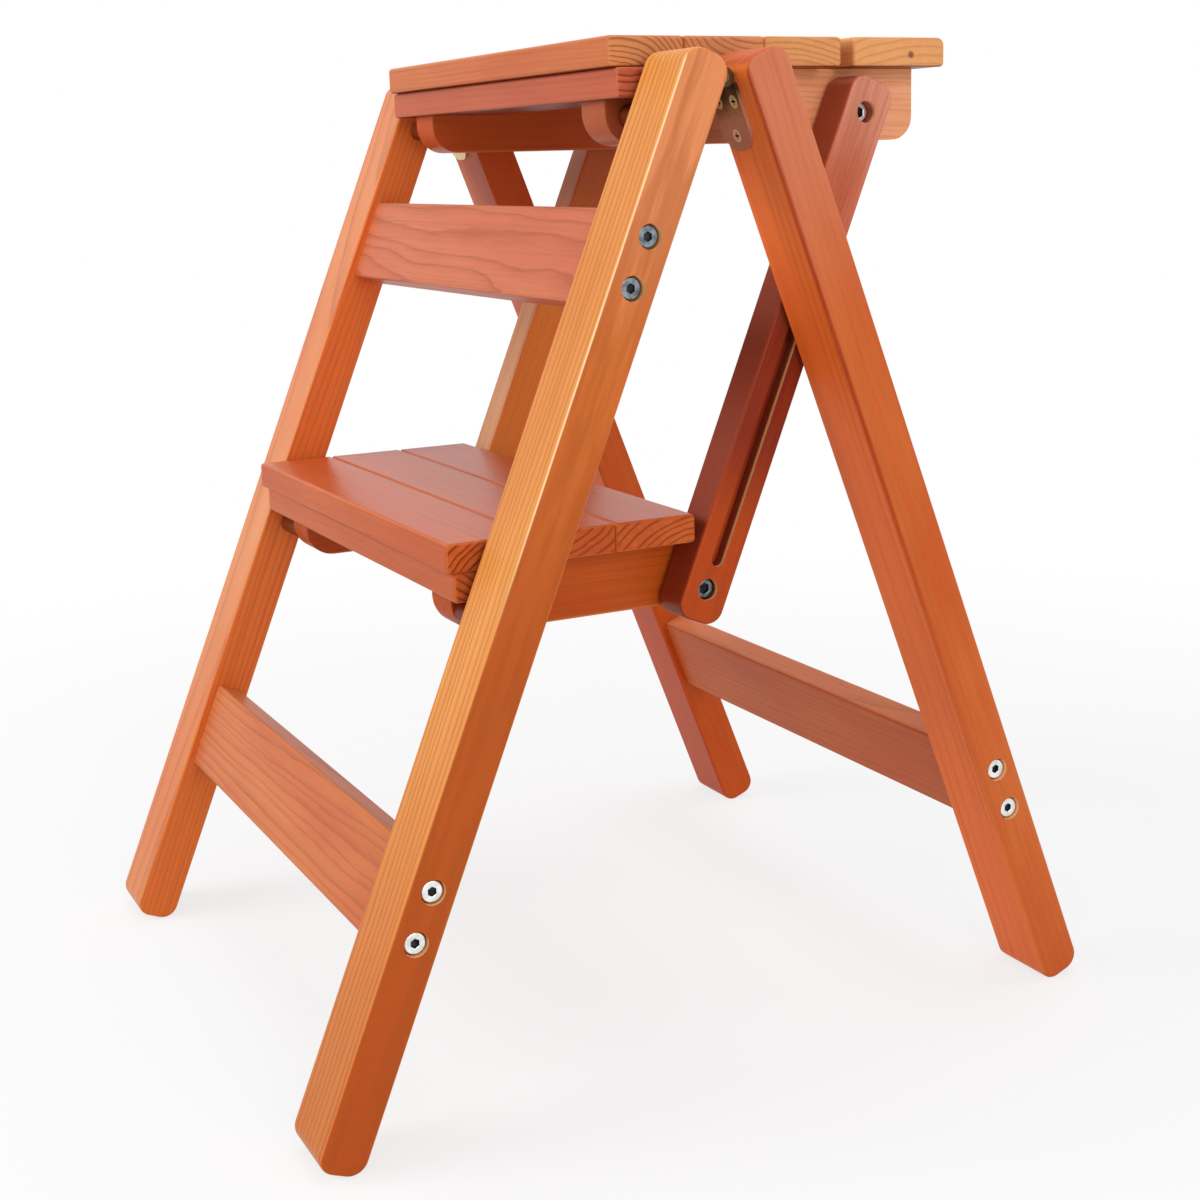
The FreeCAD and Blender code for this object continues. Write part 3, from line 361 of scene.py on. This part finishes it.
# The legs' and links' ends are rounded wide, so half their length is put out of reach
FAR = 999
LEG_HALF = (18.75, 11.9, FAR)
LEG_BORED = (5.6, 0, 225)
# Painted shade and sheen: side faces painted darker and redder, more so low down, and pink near the top
stained_pine("front_leg_right", 2, (-115, 14, 0), 4.3, 3.1, ("dc8a42", "e89e50", "a04a18", DARK_END),
             FRONT_LEAN, LEG_HALF, lines=0.8,
             stains_and_painted_light=((0, "c86228", 0.75), (0, "a43c08", 0.65, 190, -60),
                     (None, "b04818", 0.5, -60, -250), (0, "e6986a", 0.6, 110, 200)),
             corner=("f8dcae", 1, 1, -1, -20, 60), plain_side=0.85, mottled=0.4, bored=LEG_BORED)
stained_pine("front_leg_left", 2, (20, -115, 0), 3.4, 8.6, ("d88253", "e29a68", "a3471c", DARK_END),
             FRONT_LEAN, LEG_HALF, lines=0.5,
             stains_and_painted_light=((0, "ee6c1c", 0.75), (None, "c86a30", 0.4, 40, -240)), bored=LEG_BORED)

# Front rails
# Two pine rails between the front legs. The upper one is cut flat, and shows the pointed arches
# of the year rings; the lower one has long, nearly straight lines.
UPPER_RAIL_HALF = (148.5, 7.5, 23.25)
LOWER_RAIL_HALF = (148.5, 7.5, 24.5)
stained_pine("front_upper_rail", 0, (-60, -36, 0.04), 5.4, 14.2, ("c86a49", "ce7452", "8f4224", DARK_END),
             FRONT_LEAN, UPPER_RAIL_HALF, lines=0.6, wavy=4)
stained_pine("front_lower_rail", 0, (16, 90, 0.01), 5.2, 21.7, ("c6663c", "d07a46", "8f4020", DARK_END),
             FRONT_LEAN, LOWER_RAIL_HALF, lines=0.55, wavy=3)

# Rear legs and rear rail
# Two more bars of the same stock, hung from the front legs on hinges, with one rail near the
# floor. They lean forward, and took more of the stain than the front legs.
REAR_LEAN = 20.9
# Painted light: front faces lighter orange, most near the top, where lamps fall short; pink side tops as
# sheen
stained_pine("rear_leg_right", 2, (60, -110, 0), 4.2, 30.4, ("c25826", "cc6a34", "983a14", DARK_END),
             REAR_LEAN, LEG_HALF, lines=0.14,
             stains_and_painted_light=((1, "f87830", 0.75), (1, "ff9048", 0.5, 130, 220), (0, "d08468", 0.6, 110, 240)),
             corner=("96280a", 2.4, 1, -1, -230, 80), bored=LEG_BORED)
# Painted sheen: the upper front face is light pink; the front face is darker towards the foot
stained_pine("rear_leg_left", 2, (-60, 110, 0), 3.0, 37.9, ("c44c18", "cc5c24", "903614", DARK_END),
             REAR_LEAN, LEG_HALF, lines=0.2,
             stains_and_painted_light=((1, "d07c5c", 0.7, 0, 160), (1, "b0482c", 0.5, 0, -120)), rim=("a83810", 0.4),
             bored=LEG_BORED)
# Painted sheen: the faces that look up and down are painted lighter
stained_pine("rear_rail", 0, (16, 90, 0.01), 4.4, 44.3, ("c25c2c", "c86834", "8a3d1c", DARK_END),
             REAR_LEAN, LOWER_RAIL_HALF, lines=0.3, stains_and_painted_light=((2, "e8946c", 0.6),), rim=("a83c14", 0.4))

# Seat
# Four pine boards across two bearers, with a fifth board under the first. They are glued, so no
# screw shows. Every board comes from another part of a trunk, as the end grain shows.
# Painted shade on the undersides of the seat boards
UNDER_SEAT_SHADE = ("6e1c06", 0.85)
stained_pine("seat_slat_1", 0, (-22, -34, 0), 2.5, 51.8, ("c2643a", "cc7444", "8a4018", "6a2c10"),
             lines=0.25, ends=0.8, stains_and_painted_light=((0, "d48e5a", 0.8),), below=UNDER_SEAT_SHADE)
stained_pine("seat_slat_2", 0, (16, 34, 0), 2.7, 58.2, ("c87040", "d68650", "84401c", "7a3818"),
             lines=0.25, ends=0.7, stains_and_painted_light=((0, "d48c5e", 0.7),), below=UNDER_SEAT_SHADE)
stained_pine("seat_slat_3", 0, (-6, -60, 0), 3.2, 65.5, ("d28450", "de9a5e", "96522a", "9a5428"),
             lines=0.25, ends=0.55, stains_and_painted_light=((0, "d89a62", 0.6),), below=UNDER_SEAT_SHADE)
stained_pine("seat_slat_4", 0, (6, -90, 0), 3.9, 72.1, ("d68a54", "e0a064", "a05c30", "b06c3c"),
             lines=0.25, ends=0.45, stains_and_painted_light=((0, "e0a068", 0.7),), below=UNDER_SEAT_SHADE, knot=(6.7, -1.4))
stained_pine("seat_under_board", 0, (-14, 36, 0), 3.6, 79.6, ("b8583e", "c26444", "7a2c12", "5a1c0a"),
             lines=0.15, ends=0.9, below=UNDER_SEAT_SHADE)
# Painted light: the right bearer's pale colours stand in for light the seat keeps off; darker towards the
# front
stained_pine("seat_bearer_right", 1, (60, -60, 0), 3.0, 86.4, ("e89a6c", "eeac84", "a85a38", DARK_END),
             lines=0.35, ends=0.2, wavy=8, stains_and_painted_light=((None, "9c3c18", 0.85, 10, -60),))
stained_pine("seat_bearer_left", 1, (-60, -60, 0), 3.1, 93.3, ("b84c1c", "c25826", "8f3b1a", DARK_END),
             lines=0.3, ends=0.4)

# Step
# Three boards on two bearers with a fourth board under the first, made as the seat is. The
# lacquer on the tread shines.
TREAD = ((2, "c85628", 0.6),)
TREAD_LACQUER = 0.25
stained_pine("step_slat_1", 0, (16, -34, 0), 3.6, 101.7, ("ba5220", "c25e2a", "742a10", "4e1606"),
             lines=0.1, ends=0.95, stains_and_painted_light=TREAD, lacquer=TREAD_LACQUER)
stained_pine("step_slat_2", 0, (-14, 40, 0), 3.4, 108.2, ("b64f20", "be5a28", "7c3012", "641e0a"),
             lines=0.1, ends=0.8, stains_and_painted_light=TREAD, lacquer=TREAD_LACQUER)
stained_pine("step_slat_3", 0, (20, -44, 0), 3.8, 115.9, ("b85020", "c05c2a", "742a10", "641e0a"),
             lines=0.1, ends=0.8, stains_and_painted_light=TREAD, lacquer=TREAD_LACQUER)
stained_pine("step_under_board", 0, (8, 34, 0), 3.3, 122.5, ("b85424", "c26230", "7c3012", "641e0a"),
             lines=0.15, ends=0.9)
stained_pine("step_bearer_right", 1, (50, -60, 0), 3.0, 129.3, ("ac4410", "b85218", "8a3814", DARK_END),
             lines=0.3, ends=0.4)
stained_pine("step_bearer_left", 1, (-50, -60, 0), 3.1, 136.8, ("ac4418", "b6501f", "7c2c10", DARK_END),
             lines=0.3, ends=0.4)

# Links
# Two bars that carry the seat's swing down to the step. The rear leg's pin runs in the long
# groove of each. The right one is darker in its lower half, as a painted shadow of the rear leg,
# and the left one in its upper half.
LINK_HALF = (11, 12.8, FAR)
LINK_BORED = (3, 0, 131)
# Painted shade and light: front face darker, lower half dark as the rear leg's shadow, pink side tops as
# sheen
stained_pine("link_right", 2, (60, -90, 0), 2.8, 143.4, ("c0664c", "ca7256", "8c3b1a", DARK_END),
             FRONT_LEAN, LINK_HALF, lines=0.2,
             stains_and_painted_light=((1, "8c3416", 0.6), (None, "741802", 0.92, 90, -10), (0, "b84814", 0.85, -40, -100),
                     (1, "b4603c", 0.22), (0, "dc9c84", 0.6, 80, 135)),
             rim=("a83810", 0.3), mottled=0.3, bored=LINK_BORED)
# Painted light: paler than the right link, front face painted pale where legs shade it; darker towards
# the top
stained_pine("link_left", 2, (-60, 90, 0), 2.8, 150.1, ("e07834", "e8883c", "a84818", DARK_END),
             FRONT_LEAN, LINK_HALF, lines=0.2,
             stains_and_painted_light=((1, "ffcc9c", 0.8), (None, "9a4830", 0.75, 20, 90)), rim=("b8481c", 0.3),
             bored=LINK_BORED)

# Rail screws
# Steel connecting screws with flat round heads and hexagon sockets, sunk in the outer faces of
# the legs, two to each rail end. They are turned and headed from wire, then plated bright.
METAL_RELIEF = 0.00001


def plated(name, colour, dull, mark, roughness, seed):
    """Plated steel with faint clouds and fine marks from the tumbling barrel."""
    metal = Finish(name)
    place = metal.wire("Mapping", None, {"Vector": metal.node("TexCoord").outputs["Object"],
                                         "Location": (seed, seed * 2, 0)})
    cloud = metal.noise(place, scale=300.0, detail=3.0)
    grain = metal.noise(metal.stretched(place, (1.0, 1.0, 0.2)), scale=4000.0)
    shade = metal.mixed(paint(colour), paint(dull), cloud.fade(0.35, 0.7))
    shade = metal.mixed(shade, paint(mark), grain.fade(0.6, 0.75) * 0.4)
    return metal.end(shade, grain * 0.6 + cloud * 0.4, METAL_RELIEF,
                     Roughness=roughness + cloud * 0.14, Metallic=1.0)


SCREW_SIDES = 48
SIXTH_TURN = math.pi / 3


def socket_screw(head_radius, head_tall, shank_radius, shank_long, flats, socket_deep, rim):
    """Socket screw along its own Z, its head's top at 0. Material 0 is the plate, 1 the socket."""
    screw = bmesh.new()
    tip = -head_tall - shank_long
    outline = ((flats / 2, -socket_deep, True), (flats / 2, 0, True), (head_radius, 0, False),
               (head_radius, -head_tall, False), (shank_radius, -head_tall, False),
               (shank_radius, tip + shank_radius / 2, False), (shank_radius / 2, tip, False))
    # The rings stand apart while they are bridged, so that no bridge twists
    rings = []
    for step, (radius, height, six_sided) in enumerate(outline):
        ring = bmesh.ops.create_circle(screw, segments=SCREW_SIDES, radius=radius)["verts"]
        for vert in ring:
            if six_sided:
                from_flat = math.atan2(vert.co.y, vert.co.x) % SIXTH_TURN - SIXTH_TURN / 2
                vert.co *= 1 / math.cos(from_flat)
            vert.co.z = head_radius * 2 * step
        rings.append(ring)
    loops = [list({edge for vert in ring for edge in vert.link_edges}) for ring in rings]
    socket_floor, socket_mouth, head_rim = loops[:3]
    for upper, lower in zip(loops, loops[1:]):
        for face in bmesh.ops.bridge_loops(screw, edges=upper + lower)["faces"]:
            face.material_index = 1 if upper is socket_floor else 0
    for edges, material in ((socket_floor, 1), (loops[-1], 0)):
        for face in bmesh.ops.contextual_create(screw, geom=edges)["faces"]:
            face.material_index = material
    for ring, (radius, height, six_sided) in zip(rings, outline):
        for vert in ring:
            vert.co.z = height
    bmesh.ops.recalc_face_normals(screw, faces=screw.faces)
    screw.normal_update()
    for edges, width, segments, material in ((head_rim, rim, 3, -1), (socket_mouth, rim / 2, 2, 0)):
        bmesh.ops.bevel(screw, geom=edges, offset=width, segments=segments, profile=0.5,
                        affect="EDGES", material=material)
    bmesh.ops.recalc_face_normals(screw, faces=screw.faces)
    for face in screw.faces:
        face.smooth = abs(face.normal.z) < 0.99
    return screw


def set_screws(node, body, one, points, finishes):
    """One piece from equal screws. A point is its head's top and the way it faces along X."""
    name = node + "_plated"
    mesh = bpy.data.meshes.new(name)
    whole = bmesh.new()
    for place, sign in points:
        turn = Matrix.Translation(place) @ Matrix.Rotation(math.pi / 2 * sign, 4, "Y")
        single = one.copy()
        bmesh.ops.transform(single, matrix=turn, verts=single.verts)
        part = bpy.data.meshes.new(name + "_one")
        single.to_mesh(part)
        single.free()
        whole.from_mesh(part)
        bpy.data.meshes.remove(part)
    whole.to_mesh(mesh)
    whole.free()
    for finish in finishes:
        mesh.materials.append(finish)
    piece = bpy.data.objects.new(name, mesh)
    bpy.context.scene.collection.objects.link(piece)
    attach(piece, body)
    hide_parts(node)


RAIL_SCREW_HEAD = 0.0051
rail_screw = socket_screw(head_radius=RAIL_SCREW_HEAD, head_tall=0.003, shank_radius=0.0032,
                          shank_long=0.062, flats=0.004, socket_deep=0.0016, rim=0.0005)
bright_plate = plated("bright_plate", "eef0f0", "d0d4d4", "a0a4a8", 0.3, 0.2)
# Painted shade: the same plate darker, for the upper rail screws and the step's link bolts, which sit
# deep
dark_plate = plated("dark_plate", "7f8a90", "525b61", "353a3e", 0.34, 0.5)
# Painted shade: the hexagon sockets are coloured near black
socket_shade = plated("socket_shade", "3a3d40", "202326", "101214", 0.4, 0.8)
# The upper and lower heads touch the box round a rail's screws, so the box gives their places
for node, body, lean_sign, plate in (("front_upper_rail_screws", "front_frame", 1, dark_plate),
                                     ("front_lower_rail_screws", "front_frame", 1, bright_plate),
                                     ("rear_rail_screws", "rear_frame", -1, bright_plate)):
    middle, half = middle_and_half(node)
    out_y, out_z = half[1] - RAIL_SCREW_HEAD, half[2] - RAIL_SCREW_HEAD
    points = [((half[0] * sign, middle[1] + out_y * lean_sign * rise, middle[2] + out_z * rise), sign)
              for sign in (1, -1) for rise in (1, -1)]
    set_screws(node, body, rail_screw, points, (plate, socket_shade))

# Link bolts and their fittings
# One bolt holds each link end against a washer, and turns into an insert nut in the bearer. Its
# head lies deep in the link. The leg pivots are plain steel pins in dark turned sleeves.
link_bolt = socket_screw(head_radius=0.005, head_tall=0.006, shank_radius=0.003, shank_long=0.028,
                         flats=0.005, socket_deep=0.002, rim=0.0006)
for node, body, plate in (("seat_link_bolts", "seat", bright_plate),
                          ("step_link_bolts", "step", dark_plate)):
    middle, half = middle_and_half(node)
    points = [((half[0] * sign, middle[1], middle[2]), sign) for sign in (1, -1)]
    set_screws(node, body, link_bolt, points, (plate, socket_shade))
pin_plate = plated("pin_plate", "9a9c9e", "77797c", "55575a", 0.3, 1.1)
for node in ("seat_link_nuts", "step_link_nuts", "seat_link_washers", "step_link_washers",
             "seat_pivot_pins", "step_pivot_pins", "rear_leg_studs"):
    dress(node, pin_plate)
# Painted shade: the sleeves are dark brown, so that they read as the shade between bearers and legs
for node in ("seat_pivot_spacers", "step_pivot_spacers"):
    stained_pine(node, 0, (0, 0, 0), 2.5, 160.2, ("6e2c12", "7a3418", "4a1a0a", "4a1a0a"))

# Hinges
# Pressed steel leaves with rolled knuckles on a pin, and three countersunk screws in each leaf.
# The plate is yellow passivated zinc, which runs from gold to green and pink. The cross recesses
# of the screws are painted dark, as painted shade.
EDGE_HIGHLIGHT = "e8c8b0"
RECESS_SHADE = "17130c"


def passivated(node, colours, seed, lean=0, face_sign=0, edge_highlight=False):
    """Yellow passivated zinc in a leaf's own frame, with a painted highlight on an edge or painted shade
    in screw recesses.

    A face_sign is given for screws, and says which way their faces look along the leaned Y.
    """
    middle = Vector(middle_and_half(node)[0])
    gold, green, pink, dark = [paint(colour) for colour in colours]
    zinc = Finish(node + "_zinc")
    own, facing = zinc.own_frame(middle, lean)
    through, along = zinc.split(own)[1:]
    place = zinc.wire("VectorMath", {"operation": "ADD"}, {0: own, 1: (seed, seed * 2, seed * 3)})
    wash = zinc.noise(place, scale=0.09, detail=3.0, roughness=0.6)
    spread = zinc.noise(place, scale=0.05)
    grain = zinc.noise(place, scale=2.5)
    shade = zinc.mixed(gold, green, (spread * 0.6 + along * 0.02 + 0.2).fade(0.35, 0.65))
    shade = zinc.mixed(shade, pink, (wash * 0.7 - along * 0.02 + 0.15).fade(0.45, 0.75) * 0.8)
    shade = zinc.mixed(shade, dark, grain.fade(0.5, 0.8) * 0.4)
    # A painted highlight along the lower edges of the leaf
    if edge_highlight:
        flat = zinc.split(facing)[1].size()
        shade = zinc.mixed(shade, paint(EDGE_HIGHLIGHT), flat.fade(0.6, 0.2) * along.fade(9, 3) * 0.5)
    # Painted shade in the screws' cross recesses
    if face_sign:
        upright = Matrix.Rotation(math.radians(-lean), 3, "X")
        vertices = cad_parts[node].data.vertices
        face = max((upright @ (vert.co - middle)).y * face_sign for vert in vertices)
        below = face * 1000 - through * face_sign
        shade = zinc.mixed(shade, paint(RECESS_SHADE), below.fade(0.1, 0.5))
    dress(node, zinc.end(shade, grain, METAL_RELIEF, Roughness=0.3 + wash * 0.14, Metallic=0.9))


# Tones of the zinc: the right leaves and the pins darker, the left leaves paler
DARK_OLIVE_ZINC = ("8c7038", "5a4c34", "a8705a", "3a321c")
DARK_GOLD_ZINC = ("a87c3c", "4a4030", "c48a70", "3a321c")
PALE_ZINC = ("e4dc98", "d4d88c", "dcb890", "8c8450")
SCREW_ZINC = ("f6e4a0", "dcd090", "e8c098", "9a8c50")
passivated("hinge_front_leaf_right", DARK_OLIVE_ZINC, 5, FRONT_LEAN)
passivated("hinge_front_leaf_left", PALE_ZINC, 7, FRONT_LEAN)
passivated("hinge_rear_leaf_right", DARK_GOLD_ZINC, 15, REAR_LEAN, edge_highlight=True)
passivated("hinge_rear_leaf_left", PALE_ZINC, 17, REAR_LEAN)
passivated("hinge_pins", DARK_OLIVE_ZINC, 21)
passivated("hinge_front_screws", SCREW_ZINC, 25, FRONT_LEAN, face_sign=1)
passivated("hinge_rear_screws", SCREW_ZINC, 27, REAR_LEAN, face_sign=-1)

# Floor, backdrop and light
# A pale studio: a white floor that keeps a faint shadow of the stool, a white room, and broad
# soft lamps from the front, from the side and from above.
FLOOR_HALF = 6.0
PAPER_WHITE = (0.8, 0.8, 0.8, 1)
GLOW_WHITE = (1, 1, 1, 1)
# The floor glows this much near the stool, more from the first distance on, wholly from the second
GLOW_NEAR = 0.75
GLOW_SPREAD = (0.4, 1.1)
# The light that the room throws on the stool, where 1 is the white that the camera sees
ROOM_LIGHT = 0.45
STOOL_MIDDLE = Vector((0, 0, 0.25))


def sees_white(finish):
    """1 for the camera's rays and for what gloss and glass show of the room, 0 for other light."""
    rays = finish.node("LightPath")
    camera, gloss, glass = [Wire(finish, rays.outputs[name]) for name in
                            ("Is Camera Ray", "Is Glossy Ray", "Is Transmission Ray")]
    return camera.or_more(gloss).or_more(glass)


floor_mesh = bpy.data.meshes.new("studio_floor")
floor_sheet = bmesh.new()
bmesh.ops.create_grid(floor_sheet, x_segments=1, y_segments=1, size=FLOOR_HALF)
floor_sheet.to_mesh(floor_mesh)
floor_sheet.free()
studio_floor = bpy.data.objects.new("studio_floor", floor_mesh)
bpy.context.scene.collection.objects.link(studio_floor)
ground = Finish("studio_floor")
spot = ground.node("TexCoord").outputs["Object"]
distance = ground.wire("VectorMath", {"operation": "LENGTH"}, {0: spot}, "Value")
paper = ground.node("BsdfDiffuse", None, {"Color": PAPER_WHITE})
glow = ground.node("Emission", None, {"Color": GLOW_WHITE, "Strength": 1.0})
glowing = sees_white(ground) * (GLOW_NEAR + distance.fade(*GLOW_SPREAD) * (1 - GLOW_NEAR))
blend = ground.node("MixShader", None, {0: glowing, 1: paper.outputs[0], 2: glow.outputs[0]})
ground.node("OutputMaterial", None, {"Surface": blend.outputs[0]})
floor_mesh.materials.append(ground.material)


class Room(Finish):
    """The white room round the stool, built up from nodes as a finish is."""

    def __init__(self):
        self.world = bpy.data.worlds.new("studio_room")
        self.world.use_nodes = True
        self.tree = self.world.node_tree
        self.tree.nodes.clear()


room = Room()
bpy.context.scene.world = room.world
lit = room.node("Background", None, {"Color": GLOW_WHITE, "Strength": ROOM_LIGHT})
white = room.node("Background", None, {"Color": GLOW_WHITE, "Strength": 1.0})
view = room.node("MixShader", None, {0: sees_white(room), 1: lit.outputs[0], 2: white.outputs[0]})
room.node("OutputWorld", None, {"Surface": view.outputs[0]})


def soft_lamp(name, place, width, power):
    """Square lamp that points at the stool's middle."""
    lamp = bpy.data.objects.new(name, bpy.data.lights.new(name, "AREA"))
    lamp.data.shape = "SQUARE"
    lamp.data.size = width
    lamp.data.energy = power
    away = Vector(place) - STOOL_MIDDLE
    lamp.matrix_world = Matrix.Translation(place) @ away.to_track_quat("Z", "Y").to_matrix().to_4x4()
    bpy.context.scene.collection.objects.link(lamp)


soft_lamp("front_lamp", (-0.6, -2.2, 1.5), 1.4, 37)
soft_lamp("side_lamp", (2.2, -0.1, 0.8), 1.4, 22)
soft_lamp("top_lamp", (0, 0.3, 2.4), 1.6, 18)
